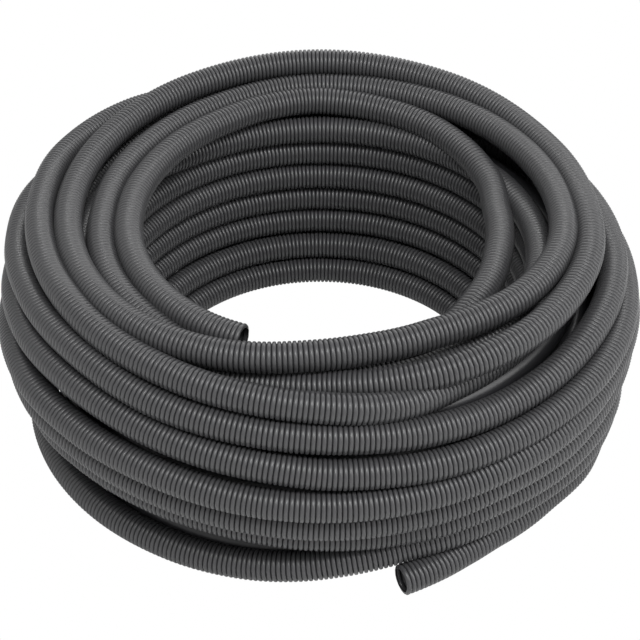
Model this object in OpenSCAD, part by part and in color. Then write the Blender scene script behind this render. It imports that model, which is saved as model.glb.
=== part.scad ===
// Coil of corrugated plastic conduit, lying flat on the floor.
//
// The wound turns are one turned body whose outline follows the turns, with the
// bore of the coil through its middle. The lowest outer turn is an arc of its own:
// it starts in the lower loose end, runs once round the foot of the coil and climbs
// over its own start. The upper loose end is an arc that leaves the top of the
// winding and drops to the inside. Both loose ends are cut square and show the real
// corrugated wall with its hollow bore.
//
// Frame: millimetres, +Z up, the floor at z = 0, the axis of the coil on x = y = 0.
// Angles run anticlockwise seen from above; the front of the coil is at -90 degrees.

/* [Conduit] */
// Outside diameter of the conduit over its crests
conduit_od = 20; // [18:0.5:22]
// Length of one corrugation, from crest to crest
pitch = 3.1; // [2.8:0.1:3.6]
// Height of a crest above the groove beside it
wave_height = 2.2; // [1.5:0.1:2.6]
// Width of the level top of a crest
crest_land = 1.1; // [0.8:0.1:1.4]
// Width of the level bottom of a groove
groove_land = 0.6; // [0.4:0.1:0.8]
// Corner taken off each edge of a crest
crest_bevel = 0.25; // [0.1:0.05:0.35]
// Thickness of the conduit's wall
wall = 0.5; // [0.4:0.05:0.7]

/* [Outer turns] */
// Number of turns up the outside of the coil
outer_turns = 8; // [6:1:9]
// Distance from the coil's axis to the middle of the lowest outer turn
outer_foot_r = 196; // [190:1:205]
// How far the outside bulges between its lowest and highest turn
outer_belly = 9; // [4:1:12]
// How far the highest outer turn lies inside the lowest one
outer_lean = 13; // [8:1:20]

/* [Inner turns] */
// Number of turns up the inside of the coil
inner_turns = 8; // [6:1:9]
// Distance from the coil's axis to the middle of the lowest inner turn
inner_foot_r = 126; // [120:1:132]
// How far the inside hollows out between its lowest and highest turn
inner_hollow = 8; // [4:1:10]
// How far the highest inner turn lies outside the lowest one
inner_lean = 20; // [14:1:24]

/* [Winding] */
// Share of a diameter that each outer turn rises over the one below it
outer_rise = 0.97; // [0.94:0.01:0.98]
// Share of a diameter that each inner turn rises over the one below it
inner_rise = 0.92; // [0.9:0.01:0.95]
// Number of turns across the foot between the lowest inner and outer turns
foot_turns = 3; // [3:1:4]
// Height that the outer turns are lifted to pass clear over the lower loose end
end_clearance = 0.9; // [0.8:0.1:1.2]

/* [Lower loose end] */
// Angle at which the lower end leaves the foot of the coil
lower_leave_a = -55; // [-60:1:-50]
// Length of the straight lower end, up to its mouth
lower_end_len = 67; // [64:1:72]
// Length of its start, where it still lies in the winding
lower_lead_len = 37; // [36:1:40]
// Angle at which the lowest turn starts to climb over its own start
climb_start_a = -99; // [-104:1:-96]
// Angle that the climbing stretch turns through
climb_turn = 40; // [36:1:42]
// Bend radius of the climbing stretch
climb_bend_r = 130; // [125:1:140]
// How far the climbing stretch is rolled up from level
climb_tilt = 42; // [40:1:45]

/* [Upper loose end] */
// Bend radius of the upper end where it lies on the coil
upper_bend_r = 149; // [145:1:153]
// Sideways place of the centre of that bend
upper_bend_x = 23; // [18:1:26]
// Front-to-back place of the centre of that bend
upper_bend_y = 16; // [12:1:20]
// Height of the middle of the upper end above the floor
upper_end_z = 150; // [147:1:153]
// Angle at which the upper end leaves the top turns
upper_leave_a = 78; // [70:1:84]
// Angle at which its bend runs out into the straight end
upper_straight_a = -130; // [-136:1:-124]
// Length of the straight upper end, up to its mouth
upper_end_len = 32; // [26:1:38]

/* [Hidden] */
$fn = 128;

conduit_r = conduit_od / 2;
groove_r = conduit_r - wave_height;
bore_r = groove_r - wall;
// A stretch is a touch thinner than the one it grows out of, so each keeps its own surface
joint_r = conduit_r - 0.15;
joint_a = 2;
joint_len = 3;
flank = (pitch - crest_land - groove_land) / 2;
outer_step = outer_rise * conduit_od;
inner_step = inner_rise * conduit_od;
top_outer = outer_turns - 1;
top_inner = inner_turns - 1;

// Middle of a turn in the coil's half section, as [radius, height]
function outer_turn(k) = let (t = k / top_outer)
    [outer_foot_r - outer_lean * t + 4 * outer_belly * t * (1 - t),
     conduit_r + k * outer_step + min(k, 1) * end_clearance];
function inner_turn(k) = let (t = k / top_inner)
    [inner_foot_r + inner_lean * t + 4 * inner_hollow * t * (1 - t),
     conduit_r + k * inner_step];
function foot_turn(k) = let (t = k / (foot_turns + 1))
    [inner_foot_r + (outer_foot_r - inner_foot_r) * t, conduit_r];

// The turn that lies in the saddle between the two highest turns
saddle_a = outer_turn(top_outer);
saddle_b = inner_turn(top_inner);
saddle_lift = 0.22 * conduit_od;
top_turn = (saddle_a + saddle_b) / 2 + [0, saddle_lift];

// Turns round the outline of the section; the lowest outer one is left to foot_arc()
outline = concat(
    [for (k = [1:top_outer]) outer_turn(k)],
    [top_turn],
    [for (k = [top_inner:-1:0]) inner_turn(k)],
    [for (k = [1:foot_turns]) foot_turn(k)]);

// One corrugation of the wall, as [place along the conduit, radius] points
function outer_wave(x) = [
    [x, groove_r],
    [x + flank - crest_bevel / 2, conduit_r - crest_bevel],
    [x + flank + crest_bevel, conduit_r],
    [x + flank + crest_land - crest_bevel, conduit_r],
    [x + flank + crest_land + crest_bevel / 2, conduit_r - crest_bevel],
    [x + 2 * flank + crest_land, groove_r]];
function inner_wave(x) = [
    [x + wall, bore_r],
    [x + flank + wall / 2, conduit_r - wall],
    [x + flank + crest_land - wall / 2, conduit_r - wall],
    [x + 2 * flank + crest_land - wall, bore_r]];
function reversed(points) = [for (k = [len(points) - 1:-1:0]) points[k]];

// Straight corrugated stretch along +X from the origin, hollow, open at its far end
module corrugated(length) {
    count = floor((length - groove_land) / pitch);
    start = length - count * pitch;
    outside = [for (k = [0:count - 1]) each outer_wave(start + k * pitch)];
    inside = [for (k = [0:count - 1]) each inner_wave(start + k * pitch)];
    rotate([90, 0, 90])
        rotate_extrude()
            polygon([for (p = concat([[0, groove_r]], outside, [[length, groove_r]],
                                     [[length, bore_r]], reversed(inside), [[0, bore_r]]))
                     [p[1], p[0]]]);
}

// Part of a ring of conduit round +Z, from one angle to another
module bent(bend_r, from_a, to_a, thick_r = conduit_r) {
    rotate([0, 0, from_a])
        rotate_extrude(angle = to_a - from_a)
            translate([bend_r, 0])
                circle(r = thick_r);
}

// All the wound turns as one turned body
module wound_body() {
    rotate_extrude() {
        polygon(outline);
        for (turn = outline)
            translate(turn)
                circle(r = conduit_r);
    }
}

// The lowest outer turn, from the lower loose end once round the foot
module foot_arc() {
    translate([0, 0, conduit_r])
        bent(outer_foot_r, lower_leave_a, 360 + climb_start_a);
}

// The stretch in which the lowest turn climbs over its own start
module climbing_arc() {
    rotate([0, 0, climb_start_a])
        translate([outer_foot_r, 0, conduit_r])
            rotate([0, climb_tilt, 0])
                translate([-climb_bend_r, 0, 0])
                    bent(climb_bend_r, -joint_a, climb_turn, joint_r);
}

// The turn that leaves the top of the winding for the upper loose end
module upper_arc() {
    translate([upper_bend_x, upper_bend_y, upper_end_z])
        bent(upper_bend_r, upper_leave_a, 360 + upper_straight_a);
}

module lower_end() {
    rotate([0, 0, lower_leave_a])
        translate([outer_foot_r, 0, conduit_r])
            rotate([0, 0, -90]) {
                translate([-joint_len, 0, 0])
                    rotate([0, 90, 0])
                        cylinder(r = joint_r, h = joint_len + lower_lead_len);
                translate([lower_lead_len, 0, 0])
                    corrugated(lower_end_len - lower_lead_len);
            }
}

module upper_end() {
    translate([upper_bend_x, upper_bend_y, upper_end_z])
        rotate([0, 0, upper_straight_a])
            translate([upper_bend_r, 0, 0])
                rotate([0, 0, 90])
                    corrugated(upper_end_len);
}

module conduit() {
    color([0.16, 0.16, 0.17]) {
        wound_body();
        foot_arc();
        climbing_arc();
        upper_arc();
        lower_end();
        upper_end();
    }
}

conduit();
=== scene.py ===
"""A coil of corrugated plastic conduit lying flat on a pale floor.

The whole conduit is one path of about 25 m: it starts at the lower loose end, runs once round the
foot of the coil, climbs the outside, comes down through the middle, climbs the inside and crosses
the top to the upper loose end. The corrugation is real geometry, ring by ring along that path.
Lengths are in metres unless a name says diameters, angles are in degrees anticlockwise from +X,
and the front of the coil is at -90 degrees.
"""

import logging
import math
from collections.abc import Sequence
from dataclasses import dataclass, field
from enum import Enum
from itertools import pairwise

import bmesh
import bpy
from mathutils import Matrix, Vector


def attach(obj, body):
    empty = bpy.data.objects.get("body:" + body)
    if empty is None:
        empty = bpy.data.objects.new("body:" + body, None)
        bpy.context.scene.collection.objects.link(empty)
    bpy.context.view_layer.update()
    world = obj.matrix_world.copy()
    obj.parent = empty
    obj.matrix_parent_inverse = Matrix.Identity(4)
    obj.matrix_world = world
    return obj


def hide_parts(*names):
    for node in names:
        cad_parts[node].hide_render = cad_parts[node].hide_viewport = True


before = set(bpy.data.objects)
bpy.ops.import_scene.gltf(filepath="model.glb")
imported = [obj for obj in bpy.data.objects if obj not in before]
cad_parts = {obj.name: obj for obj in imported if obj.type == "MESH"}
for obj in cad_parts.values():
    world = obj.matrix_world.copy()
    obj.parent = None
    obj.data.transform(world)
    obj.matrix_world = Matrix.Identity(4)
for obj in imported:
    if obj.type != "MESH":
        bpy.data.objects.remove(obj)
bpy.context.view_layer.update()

log = logging.getLogger("conduit_coil")

MM = 0.001
FULL_TURN = 360.0

# The conduit itself, at its real size
OUTER_D = 20.0 * MM
PITCH = 3.1 * MM
WAVE_HEIGHT = 1.6 * MM
WALL = 0.5 * MM

# One corrugation, as shares of its pitch and of its wave height
WAVE = ((0.0, 0.0), (0.17, 0.82), (0.36, 1.0), (0.64, 1.0), (0.83, 0.82))
SHOWING_SEGMENTS = 12
MOUTH_SEGMENTS = 16
HIDDEN_SEGMENTS = 12
HIDDEN_STEP = 12.0 * MM
BORE_DEPTH = 60.0 * MM
# Painted shade inside the open ends of the conduit.
BORE_SHADE = 0.6
CREST_SMOOTHING = 50.0
PLAIN_SMOOTHING = 60.0


class Zone(Enum):
    """How much of a stretch of conduit can be seen."""

    SHOWING = "corrugated geometry"
    HIDDEN = "plain tube"


@dataclass(frozen=True)
class Key:
    """A point that the middle of the conduit passes through.

    Args:
        angle: degrees round the coil.
        radius: distance from the coil's axis, in conduit diameters.
        height: height above the floor, in conduit diameters.
    """

    angle: float
    radius: float
    height: float

    def shifted(self, turn: float) -> "Key":
        """The same key some degrees further along the winding."""
        return Key(self.angle + turn, self.radius, self.height)


@dataclass(frozen=True)
class Stretch:
    """A run of the winding, one or more turns long.

    Args:
        name: what it is in the coil.
        zone: whether it shows.
        keys: its points, with angles that only grow.
    """

    name: str
    zone: Zone
    keys: tuple[Key, ...]


def keys(*rows: tuple[float, float, float]) -> tuple[Key, ...]:
    """Turn rows of (angle, radius, height) into keys."""
    return tuple(Key(*row) for row in rows)


# The outer column, from the floor upwards. Each row gives its places round one turn, and the next
# row carries on where it ends.
LOWER_END = keys(
    (-75.6, 10.27, 0.5), (-68, 10.02, 0.5), (-61, 9.8, 0.5), (-54, 9.68, 0.5), (-42, 9.68, 0.5),
    (-27, 9.9, 0.5), (0, 9.85, 0.5), (45, 9.85, 0.5), (90, 9.85, 0.5), (135, 9.8, 0.5),
    (180, 9.85, 0.5), (200, 9.88, 0.5), (222, 9.8, 0.5), (240, 9.68, 0.5), (255, 9.62, 0.58),
    (265, 9.6, 0.74), (275, 9.58, 0.98), (285, 9.56, 1.2), (297, 9.7, 1.42), (312, 9.78, 1.46),
    (330, 10.1, 1.56),
)
OUTER_ROWS = (
    keys((0, 10.15, 1.5), (90, 10.2, 1.5), (150, 10.15, 1.95), (180, 10.1, 2.25),
         (208, 10.05, 2.45), (222, 9.85, 2.45), (240, 9.7, 2.41), (258, 9.6, 2.28),
         (270, 9.6, 2.15), (282, 9.62, 2.1), (292, 9.8, 2.2), (304, 9.95, 2.4), (320, 10.2, 2.52),
         (335, 10.3, 2.58), (348, 10.15, 2.55)),
    keys((0, 10.3, 2.5), (90, 9.85, 2.4), (150, 10.15, 2.95), (180, 10.35, 3.25),
         (206, 10.4, 3.45), (222, 10.2, 3.38), (240, 10.1, 3.29), (260, 10.05, 3.13),
         (275, 10.02, 3.03), (292, 10.05, 3.1), (304, 10.15, 3.33), (320, 10.3, 3.45),
         (335, 10.3, 3.5)),
    keys((0, 10.42, 3.5), (90, 10.2, 3.35), (150, 10.35, 3.95), (180, 10.55, 4.2),
         (206, 10.55, 4.4), (222, 10.35, 4.3), (240, 10.25, 4.24), (260, 10.25, 4.07),
         (275, 10.22, 4.0), (292, 10.25, 4.05), (304, 10.35, 4.25), (320, 10.42, 4.4),
         (335, 10.38, 4.45)),
    keys((0, 10.5, 4.5), (90, 9.85, 4.3), (150, 10.25, 5.05), (180, 10.35, 5.35),
         (200, 10.2, 5.55), (218, 9.95, 5.6), (240, 9.8, 5.36), (260, 9.8, 5.14),
         (275, 9.82, 4.93), (290, 9.95, 4.9), (304, 10.1, 4.98), (320, 10.3, 5.2),
         (335, 10.38, 5.38)),
    keys((0, 10.3, 5.4), (90, 10.15, 5.3), (140, 10.5, 6.0), (160, 10.5, 6.25), (180, 10.2, 6.4),
         (198, 9.85, 6.55), (215, 9.62, 6.6), (240, 9.42, 6.25), (260, 9.32, 6.04),
         (275, 9.3, 5.9), (290, 9.35, 5.76), (304, 9.4, 5.68), (320, 9.6, 5.88), (335, 9.75, 6.12)),
    keys((0, 9.9, 6.2), (90, 9.9, 6.15), (118, 10.0, 6.85), (135, 10.0, 7.22), (155, 9.9, 7.35),
         (172, 9.55, 7.4), (190, 9.25, 7.45), (205, 9.12, 7.45), (222, 9.02, 7.3),
         (240, 8.92, 7.12), (260, 8.92, 6.95), (275, 8.92, 6.74), (287, 8.75, 6.46),
         (300, 8.35, 6.32), (320, 8.2, 6.34), (340, 8.35, 6.4)),
)
OVER_THE_BACK = keys((0, 8.8, 6.45), (30, 9.45, 6.7), (60, 9.75, 6.85), (90, 9.8, 6.95),
                     (120, 9.3, 6.75), (150, 9.0, 6.4), (175, 8.65, 6.0))

# Turns buried between the two columns: level rings, then two turns that come down to the floor
CORE_RINGS = ((8.4, 5.65), (8.8, 4.55), (9.1, 3.6), (8.85, 2.75))
CORE_FOOT = keys(
    (0, 8.4, 1.9), (80, 8.2, 1.8), (140, 7.85, 1.47), (220, 7.85, 1.47), (270, 8.6, 1.0),
    (300, 8.85, 0.74), (345, 8.85, 0.72), (390, 8.75, 0.7), (450, 8.3, 0.55), (530, 7.45, 0.55),
    (580, 7.4, 0.55), (630, 7.35, 0.55),
)
CORE_FOOT_TURNS = 2

# The inner column, from the floor upwards, with its top ring a little raised at the front
INNER_RINGS = (
    (6.4, 0.5), (6.75, 1.42), (7.25, 2.3), (7.4, 3.27), (7.37, 4.27), (7.54, 5.25),
)
INNER_TOP = keys(
    (0, 7.45, 6.25), (45, 7.45, 6.38), (75, 7.5, 6.48), (105, 7.45, 6.38), (140, 7.45, 6.25),
    (240, 7.45, 6.25),
)

# Where the inner turns begin, and the degrees of each that stay level before it climbs
COLUMN_START = 240.0
CORE_LEVEL = 270.0
INNER_LEVEL = 290.0

# The turns that cross the top, up to the upper loose end, are made in parts of so many degrees
TOP_PARTS = 4
TOP_PART = 290.0
TOP = keys(
    (180, 8.0, 6.6), (215, 7.8, 6.5), (245, 7.75, 6.5), (270, 7.79, 6.64), (285, 8.12, 6.88),
    (300, 8.52, 7.12), (315, 8.74, 7.24), (330, 8.84, 7.27), (351, 9.0, 7.4), (366, 8.95, 7.5), (386, 9.1, 7.5), (420, 9.45, 7.75),
    (450, 9.6, 7.89), (480, 9.3, 7.8), (510, 8.85, 7.6), (534, 8.5, 7.5), (557, 8.3, 7.5),
    (582, 8.2, 7.5), (605, 7.9, 7.5), (630, 7.35, 7.54), (645, 7.15, 7.5), (656, 7.15, 7.5),
    (670, 7.35, 7.5), (685, 7.7, 7.5), (702, 7.99, 7.5), (714, 8.12, 7.5), (727, 8.15, 7.5),
    (749, 8.3, 7.45), (780, 8.6, 7.4), (810, 8.75, 7.32), (840, 8.2, 7.3), (870, 7.6, 7.3),
    (900, 7.3, 7.3), (930, 7.4, 7.2), (960, 7.4, 6.9), (990, 7.0, 6.45), (1005, 6.65, 6.36),
    (1030, 6.22, 6.34), (1049, 6.05, 6.5), (1066, 6.0, 6.5), (1094, 6.33, 6.5), (1112, 7.0, 6.6),
    (1124, 7.3, 6.8), (1140, 7.65, 7.0), (1153, 7.8, 7.1), (1170, 7.88, 7.24), (1185, 7.6, 7.3),
    (1200, 7.15, 7.35), (1220, 6.75, 7.4), (1240, 6.5, 7.4), (1260, 6.4, 7.4), (1280, 6.45, 7.4),
    (1295, 6.55, 7.4), (1310, 6.7, 7.4), (1320, 6.8, 7.4), (1330, 6.85, 7.4),
)


def ring_keys(rings: Sequence[tuple[float, float]], start: float, climb_from: float) -> list[Key]:
    """Lay rings of (radius, height) one after another, each a level turn with a short passage up.

    Args:
        rings: radius and height of each turn, in diameters.
        start: angle at which the first turn begins.
        climb_from: degrees of each turn that stay level before it passes to the next.
    """
    out = []
    for number, (radius, height) in enumerate(rings):
        first = start + FULL_TURN * number
        out.extend(Key(first + climb_from * k / 4, radius, height) for k in range(5))
    return out


def winding() -> list[Stretch]:
    """The whole conduit as stretches, with angles that grow from one end to the other."""
    stretches = [Stretch("lower_end", Zone.SHOWING, LOWER_END)]
    turn = FULL_TURN
    for number, row in enumerate(OUTER_ROWS, start=1):
        stretches.append(
            Stretch(f"outer_{number}", Zone.SHOWING, tuple(k.shifted(turn) for k in row))
        )
        turn += FULL_TURN
    stretches.append(
        Stretch("over_back", Zone.SHOWING, tuple(k.shifted(turn) for k in OVER_THE_BACK))
    )
    start = turn + COLUMN_START
    stretches.append(
        Stretch("core", Zone.HIDDEN, tuple(ring_keys(CORE_RINGS, start, CORE_LEVEL)))
    )
    start += FULL_TURN * len(CORE_RINGS)
    foot = tuple(k.shifted(start) for k in CORE_FOOT)
    stretches.append(Stretch("core_foot", Zone.HIDDEN, foot))
    start += FULL_TURN * CORE_FOOT_TURNS
    for number, one in enumerate(INNER_RINGS, start=1):
        stretches.append(
            Stretch(f"inner_{number}", Zone.SHOWING, tuple(ring_keys([one], start, INNER_LEVEL)))
        )
        start += FULL_TURN
    last_ring = tuple(k.shifted(start) for k in INNER_TOP)
    stretches.append(Stretch("inner_top", Zone.SHOWING, last_ring))
    start += FULL_TURN
    turn = FULL_TURN * math.floor((start - TOP[0].angle) / FULL_TURN)
    top = [k.shifted(turn) for k in TOP]
    for number in range(TOP_PARTS):
        low, high = (top[0].angle + TOP_PART * (number + more) for more in (0, 1))
        part = tuple(k for k in top if low <= k.angle < high)
        stretches.append(Stretch(f"top_{number + 1}", Zone.SHOWING, part))
    return stretches


class Spiral:
    """A smooth curve in angle, radius and height through the keys of the winding."""

    def __init__(self, points: Sequence[Key]) -> None:
        self.keys = list(points)
        self.radius_slopes = self._slopes([k.radius for k in self.keys])
        self.height_slopes = self._slopes([k.height for k in self.keys])
        self.at_key = 0

    def _slopes(self, values: Sequence[float]) -> list[float]:
        angles = [k.angle for k in self.keys]
        steps = [b - a for a, b in pairwise(angles)]
        rates = [(b - a) / h for (a, b), h in zip(pairwise(values), steps)]
        inner = [
            self._slope(h0, h1, r0, r1)
            for (h0, h1), (r0, r1) in zip(pairwise(steps), pairwise(rates))
        ]
        return [rates[0], *inner, rates[-1]]

    @staticmethod
    def _slope(h0: float, h1: float, r0: float, r1: float) -> float:
        """Slope at a key that never overshoots: flat at a peak, a weighted mean elsewhere."""
        if r0 * r1 <= 0:
            return 0.0
        w0, w1 = 2 * h1 + h0, h1 + 2 * h0
        return (w0 + w1) / (w0 / r0 + w1 / r1)

    def point(self, angle: float) -> Vector:
        """Place of the conduit's middle at an angle of the winding, in metres."""
        last = len(self.keys) - 2
        while self.at_key < last and self.keys[self.at_key + 1].angle < angle:
            self.at_key += 1
        while self.at_key > 0 and self.keys[self.at_key].angle > angle:
            self.at_key -= 1
        i = self.at_key
        a, b = self.keys[i], self.keys[i + 1]
        width = b.angle - a.angle
        t = (angle - a.angle) / width
        h00, h10 = 2 * t**3 - 3 * t**2 + 1, t**3 - 2 * t**2 + t
        h01, h11 = 3 * t**2 - 2 * t**3, t**3 - t**2
        radius, height = (
            h00 * u + h10 * width * du + h01 * v + h11 * width * dv
            for u, v, du, dv in (
                (a.radius, b.radius, self.radius_slopes[i], self.radius_slopes[i + 1]),
                (a.height, b.height, self.height_slopes[i], self.height_slopes[i + 1]),
            )
        )
        turn = math.radians(angle)
        return OUTER_D * Vector((radius * math.cos(turn), radius * math.sin(turn), height))


class Line:
    """A centreline cut into even steps, with its direction at each point.

    Args:
        spiral: the smooth winding.
        first: angle where it starts.
        last: angle where it ends.
    """

    FINE = 0.5

    def __init__(self, spiral: Spiral, first: float, last: float) -> None:
        count = max(2, math.ceil((last - first) / self.FINE))
        self.fine = [spiral.point(first + (last - first) * k / count) for k in range(count + 1)]
        self.lengths = [0.0]
        for a, b in pairwise(self.fine):
            self.lengths.append(self.lengths[-1] + (b - a).length)
        self.at_piece = 0

    @property
    def length(self) -> float:
        """Length of the centreline, in metres."""
        return self.lengths[-1]

    def at(self, distance: float) -> tuple[Vector, Vector]:
        """Point and direction at a distance along the line."""
        last = len(self.lengths) - 2
        while self.at_piece < last and self.lengths[self.at_piece + 1] < distance:
            self.at_piece += 1
        while self.at_piece > 0 and self.lengths[self.at_piece] > distance:
            self.at_piece -= 1
        i = self.at_piece
        a, b = self.fine[i], self.fine[i + 1]
        share = (distance - self.lengths[i]) / (self.lengths[i + 1] - self.lengths[i])
        before = self.fine[max(i - 1, 0)]
        after = self.fine[min(i + 2, len(self.fine) - 1)]
        ahead = (b - before).normalized().lerp((after - a).normalized(), share)
        return a.lerp(b, share), ahead.normalized()


class TubeMaker:
    """Builds tubes ring by ring round a line, and keeps per vertex one value of painted shade,
    which is deepest at the bottom of the grooves.
    """

    def __init__(self, segments: int) -> None:
        self.segments = segments
        self.mesh = bmesh.new()
        self.groove = self.mesh.verts.layers.float.new("groove")

    def ring(self, middle: Vector, ahead: Vector, radius: float, groove: float) -> list:
        """Add one ring of vertices, with its first vertex on the upper side.

        Args:
            middle: centre of the ring.
            ahead: direction of the conduit there.
            radius: of the ring.
            groove: painted shade, 0 on a crest and 1 at the bottom of the grooves.
        """
        side = ahead.cross(Vector((0, 0, 1))).normalized()
        up = side.cross(ahead)
        ring = []
        for k in range(self.segments):
            turn = math.tau * k / self.segments
            vert = self.mesh.verts.new(
                middle + radius * (math.cos(turn) * up + math.sin(turn) * side)
            )
            vert[self.groove] = groove
            ring.append(vert)
        return ring

    def skin(self, rings: Sequence[list]) -> None:
        """Join rings one after another with faces that look outward."""
        for a, b in pairwise(rings):
            for k in range(self.segments):
                n = (k + 1) % self.segments
                self.mesh.faces.new((a[k], b[k], b[n], a[n]))

    def cap(self, ring: list, backward: bool) -> None:
        """Close a ring with one face."""
        self.mesh.faces.new(ring[::-1] if backward else ring)

    def object(self, name: str, angle: float) -> bpy.types.Object:
        """Finish the mesh as an object of the scene, smooth across small angles."""
        data = bpy.data.meshes.new(name)
        self.mesh.to_mesh(data)
        self.mesh.free()
        made = bpy.data.objects.new(name, data)
        bpy.context.collection.objects.link(made)
        bpy.ops.object.select_all(action="DESELECT")
        made.select_set(True)
        bpy.context.view_layer.objects.active = made
        bpy.ops.object.shade_smooth_by_angle(angle=math.radians(angle))
        return made


@dataclass(frozen=True)
class PlasticFinish:
    """Dark satin plastic, with painted shade that darkens its grooves.

    Args:
        colour: its base colour on the crests.
        groove_colour: painted shade, its base colour at the bottom of the grooves.
        roughness: of the crests.
        wear: how far the roughness varies.
    """

    colour: tuple[float, float, float] = (0.05, 0.05, 0.052)
    # Painted shade: a darker base colour for the bottom of the grooves.
    groove_colour: tuple[float, float, float] = (0.022, 0.022, 0.024)
    roughness: float = 0.36
    wear: float = 0.10

    def build(self) -> bpy.types.Material:
        """Make the material."""
        made = bpy.data.materials.new("conduit_plastic")
        made.use_nodes = True
        tree = made.node_tree
        tree.nodes.clear()
        out = tree.nodes.new("ShaderNodeOutputMaterial")
        shader = tree.nodes.new("ShaderNodeBsdfPrincipled")
        shader.inputs["IOR"].default_value = 1.5
        tree.links.new(shader.outputs["BSDF"], out.inputs["Surface"])
        look = tree.nodes.new("ShaderNodeGroup")
        look.node_tree = groove_group()
        for name, value in (("Crest", self.colour), ("GrooveShade", self.groove_colour)):
            look.inputs[name].default_value = (*value, 1.0)
        look.inputs["Roughness"].default_value = self.roughness
        look.inputs["Wear"].default_value = self.wear
        # Painted shade mask: how far each vertex lies down in the grooves.
        painted_shade_mask = tree.nodes.new("ShaderNodeAttribute")
        painted_shade_mask.attribute_name = "groove"
        tree.links.new(painted_shade_mask.outputs["Fac"], look.inputs["Depth"])
        tree.links.new(look.outputs["Colour"], shader.inputs["Base Color"])
        tree.links.new(look.outputs["Roughness"], shader.inputs["Roughness"])
        return made


def groove_group() -> bpy.types.NodeTree:
    """Node group that turns the depth of the grooves into painted shade on the colour, and gives a
    roughness with slight wear.
    """
    group = bpy.data.node_groups.new("conduit_grooves", "ShaderNodeTree")
    face = group.interface
    for name, kind in (
        ("Depth", "NodeSocketFloat"),
        ("Crest", "NodeSocketColor"),
        ("GrooveShade", "NodeSocketColor"),
        ("Roughness", "NodeSocketFloat"),
        ("Wear", "NodeSocketFloat"),
    ):
        face.new_socket(name=name, in_out="INPUT", socket_type=kind)
    face.new_socket(name="Colour", in_out="OUTPUT", socket_type="NodeSocketColor")
    face.new_socket(name="Roughness", in_out="OUTPUT", socket_type="NodeSocketFloat")
    start = group.nodes.new("NodeGroupInput")
    end = group.nodes.new("NodeGroupOutput")
    # Painted shade: the colour goes from the crest colour to the darker shade colour as the grooves
    # deepen.
    mix = group.nodes.new("ShaderNodeMix")
    mix.data_type = "RGBA"
    group.links.new(start.outputs["Depth"], mix.inputs["Factor"])
    group.links.new(start.outputs["Crest"], mix.inputs["A"])
    group.links.new(start.outputs["GrooveShade"], mix.inputs["B"])
    group.links.new(mix.outputs["Result"], end.inputs["Colour"])
    place = group.nodes.new("ShaderNodeTexCoord")
    noise = group.nodes.new("ShaderNodeTexNoise")
    noise.inputs["Scale"].default_value = 60.0
    noise.inputs["Detail"].default_value = 3.0
    group.links.new(place.outputs["Object"], noise.inputs["Vector"])
    around = group.nodes.new("ShaderNodeMath")
    around.operation = "SUBTRACT"
    around.inputs[1].default_value = 0.5
    group.links.new(noise.outputs["Fac"], around.inputs[0])
    spread = group.nodes.new("ShaderNodeMath")
    spread.operation = "MULTIPLY_ADD"
    group.links.new(around.outputs["Value"], spread.inputs[0])
    group.links.new(start.outputs["Wear"], spread.inputs[1])
    group.links.new(start.outputs["Roughness"], spread.inputs[2])
    group.links.new(spread.outputs["Value"], end.inputs["Roughness"])
    return group


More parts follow.
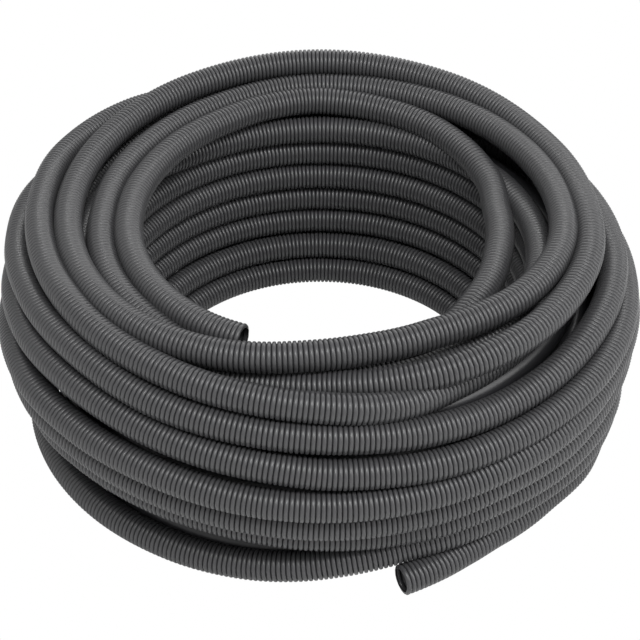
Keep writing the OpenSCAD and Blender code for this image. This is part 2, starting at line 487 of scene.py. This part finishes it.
@dataclass
class Conduit:
    """The whole coil of conduit, as consecutive pieces of one centreline."""

    finish: PlasticFinish = field(default_factory=PlasticFinish)
    pieces: list[bpy.types.Object] = field(default_factory=list)

    def build(self) -> None:
        material = self.finish.build()
        stretches = winding()
        spiral = Spiral([key for stretch in stretches for key in stretch.keys])
        starts = [s.keys[0].angle for s in stretches] + [stretches[-1].keys[-1].angle]
        total = 0.0
        for number, (stretch, (first, last)) in enumerate(zip(stretches, pairwise(starts))):
            line = Line(spiral, first, last)
            if stretch.zone is Zone.HIDDEN:
                made, path = self._plain(stretch.name, line)
            else:
                open_start = number == 0
                open_end = number == len(stretches) - 1
                made, path = self._corrugated(stretch.name, line, open_start, open_end)
            made.data.materials.append(material)
            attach(made, "root")
            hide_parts("conduit")
            self.pieces.append(made)
            total += line.length
            log.info("%s: %.2f m, %d faces", stretch.name, line.length, len(made.data.polygons))
        log.info("the whole conduit is %.2f m long", total)

    def _plain(self, name: str, line: Line) -> tuple[bpy.types.Object, list[Vector]]:
        """A tube without corrugations, for the turns that are buried."""
        maker = TubeMaker(HIDDEN_SEGMENTS)
        count = math.ceil(line.length / HIDDEN_STEP)
        rings, path = [], []
        for k in range(count + 1):
            where = line.length * k / count
            middle, ahead = line.at(where)
            path.append(middle)
            # Painted shade: buried turns are coloured as dark as the bottom of the grooves all
            # over.
            rings.append(maker.ring(middle, ahead, OUTER_D / 2 - WAVE_HEIGHT / 2, 1.0))
        maker.skin(rings)
        maker.cap(rings[0], backward=True)
        maker.cap(rings[-1], backward=False)
        return maker.object(name, PLAIN_SMOOTHING), path

    def _corrugated(
        self, name: str, line: Line, open_start: bool, open_end: bool
    ) -> tuple[bpy.types.Object, list[Vector]]:
        """A tube with every corrugation modelled, hollow at an end of the conduit."""
        maker = TubeMaker(MOUTH_SEGMENTS if open_start or open_end else SHOWING_SEGMENTS)
        count = max(1, round(line.length / PITCH))
        pitch = line.length / count
        outer, path = [], []
        for number in range(count):
            for share, height in WAVE:
                where = pitch * (number + share)
                middle, ahead = line.at(where)
                radius = OUTER_D / 2 - WAVE_HEIGHT * (1 - height)
                # Painted shade: rings deeper in the grooves are coloured darker.
                outer.append(maker.ring(middle, ahead, radius, 1 - height))
                if share == 0.0:
                    path.append(middle)
        middle, ahead = line.at(line.length)
        outer.append(maker.ring(middle, ahead, OUTER_D / 2 - WAVE_HEIGHT, 1.0))
        path.append(middle)
        maker.skin(outer)
        if open_start:
            self._bore(maker, line, outer[0], pitch, 1)
        else:
            maker.cap(outer[0], backward=True)
        if open_end:
            self._bore(maker, line, outer[-1], pitch, -1)
        else:
            maker.cap(outer[-1], backward=False)
        return maker.object(name, CREST_SMOOTHING), path

    @staticmethod
    def _bore(maker: TubeMaker, line: Line, rim: list, pitch: float, sign: int) -> None:
        """The inner wall of an open end, following the outer one a wall's thickness inside."""
        rings = [rim]
        for number in range(round(BORE_DEPTH / pitch)):
            for share, height in WAVE:
                inward = pitch * (number + share)
                where = inward if sign > 0 else line.length - inward
                middle, ahead = line.at(where)
                radius = OUTER_D / 2 - WAVE_HEIGHT * (1 - height) - WALL
                # Painted shade: the inner wall of the mouth is darkened, at least BORE_SHADE of the
                # way to the colour at the bottom of the grooves.
                shade = BORE_SHADE + (1 - BORE_SHADE) * (1 - height)
                rings.append(maker.ring(middle, ahead, radius, shade))
        for a, b in pairwise(rings):
            for k in range(maker.segments):
                n = (k + 1) % maker.segments
                face = (a[k], a[n], b[n], b[k])
                maker.mesh.faces.new(face if sign > 0 else face[::-1])
        maker.cap(rings[-1], backward=sign > 0)


@dataclass(frozen=True)
class Lamp:
    """One soft area light.

    Args:
        name: its object name.
        place: where it stands, in metres.
        size: its width and depth, in metres.
        power: in watts.
    """

    name: str
    place: tuple[float, float, float]
    size: tuple[float, float]
    power: float

    def build(self) -> None:
        """Add the light, turned towards the coil."""
        data = bpy.data.lights.new(self.name, "AREA")
        data.shape = "RECTANGLE"
        data.size, data.size_y = self.size
        data.energy = self.power
        made = bpy.data.objects.new(self.name, data)
        made.location = self.place
        aim = Vector((0, 0, 0.08)) - Vector(self.place)
        made.rotation_euler = aim.to_track_quat("-Z", "Y").to_euler()
        bpy.context.collection.objects.link(made)


class Studio:
    """Camera, pale floor, white backdrop and soft lights."""

    LENS = 92.87
    ELEVATION = 38.5
    DISTANCE = 58.11
    AIM_HEIGHT = 3.05
    LAMPS = (
        Lamp("key_light", (0.15, -0.75, 1.6), (1.0, 0.3), 19.0),
        Lamp("side_light", (1.4, -0.5, 0.9), (1.2, 1.0), 12.0),
        Lamp("back_light", (0.2, 1.5, 1.1), (1.8, 0.8), 10.0),
    )

    def build(self) -> None:
        """Make everything round the coil."""
        self._camera()
        self._world()
        self._floor()
        for lamp in self.LAMPS:
            lamp.build()

    def _camera(self) -> None:
        data = bpy.data.cameras.new("camera")
        data.lens = self.LENS
        data.sensor_width = 36.0
        made = bpy.data.objects.new("camera", data)
        tilt = math.radians(self.ELEVATION)
        back = Vector((0.0, -math.cos(tilt), math.sin(tilt)))
        made.location = OUTER_D * (Vector((0, 0, self.AIM_HEIGHT)) + self.DISTANCE * back)
        made.rotation_euler = (-back).to_track_quat("-Z", "Y").to_euler()
        bpy.context.collection.objects.link(made)
        bpy.context.scene.camera = made

    def _world(self) -> None:
        """White where the camera looks past the coil, and a soft grey light elsewhere."""
        world = bpy.data.worlds.new("studio")
        bpy.context.scene.world = world
        world.use_nodes = True
        tree = world.node_tree
        tree.nodes.clear()
        out = tree.nodes.new("ShaderNodeOutputWorld")
        choose = tree.nodes.new("ShaderNodeMixShader")
        soft = tree.nodes.new("ShaderNodeBackground")
        soft.inputs["Color"].default_value = (1.0, 1.0, 1.0, 1.0)
        soft.inputs["Strength"].default_value = 0.72
        white = tree.nodes.new("ShaderNodeBackground")
        white.inputs["Color"].default_value = (1.0, 1.0, 1.0, 1.0)
        white.inputs["Strength"].default_value = 1.0
        path = tree.nodes.new("ShaderNodeLightPath")
        tree.links.new(path.outputs["Is Camera Ray"], choose.inputs["Fac"])
        tree.links.new(soft.outputs["Background"], choose.inputs[1])
        tree.links.new(white.outputs["Background"], choose.inputs[2])
        tree.links.new(choose.outputs["Shader"], out.inputs["Surface"])

    def _floor(self) -> None:
        """A pale floor that the camera sees as plain white and that throws light back up."""
        bpy.ops.object.select_all(action="DESELECT")
        bpy.ops.mesh.primitive_plane_add(size=6.0, location=(0, 0, 0))
        floor = bpy.context.object
        floor.name = "floor"
        made = bpy.data.materials.new("floor_white")
        made.use_nodes = True
        tree = made.node_tree
        tree.nodes.clear()
        out = tree.nodes.new("ShaderNodeOutputMaterial")
        choose = tree.nodes.new("ShaderNodeMixShader")
        matt = tree.nodes.new("ShaderNodeBsdfDiffuse")
        matt.inputs["Color"].default_value = (0.82, 0.82, 0.82, 1.0)
        white = tree.nodes.new("ShaderNodeEmission")
        white.inputs["Color"].default_value = (1.0, 1.0, 1.0, 1.0)
        white.inputs["Strength"].default_value = 1.0
        path = tree.nodes.new("ShaderNodeLightPath")
        tree.links.new(path.outputs["Is Camera Ray"], choose.inputs["Fac"])
        tree.links.new(matt.outputs["BSDF"], choose.inputs[1])
        tree.links.new(white.outputs["Emission"], choose.inputs[2])
        tree.links.new(choose.outputs["Shader"], out.inputs["Surface"])
        floor.data.materials.append(made)


def main() -> None:
    """Build the studio and the coil."""
    logging.basicConfig(level=logging.INFO, format="%(name)s: %(message)s")
    bpy.context.scene.view_settings.view_transform = "Standard"
    Studio().build()
    Conduit().build()


if __name__ == "__main__":
    main()
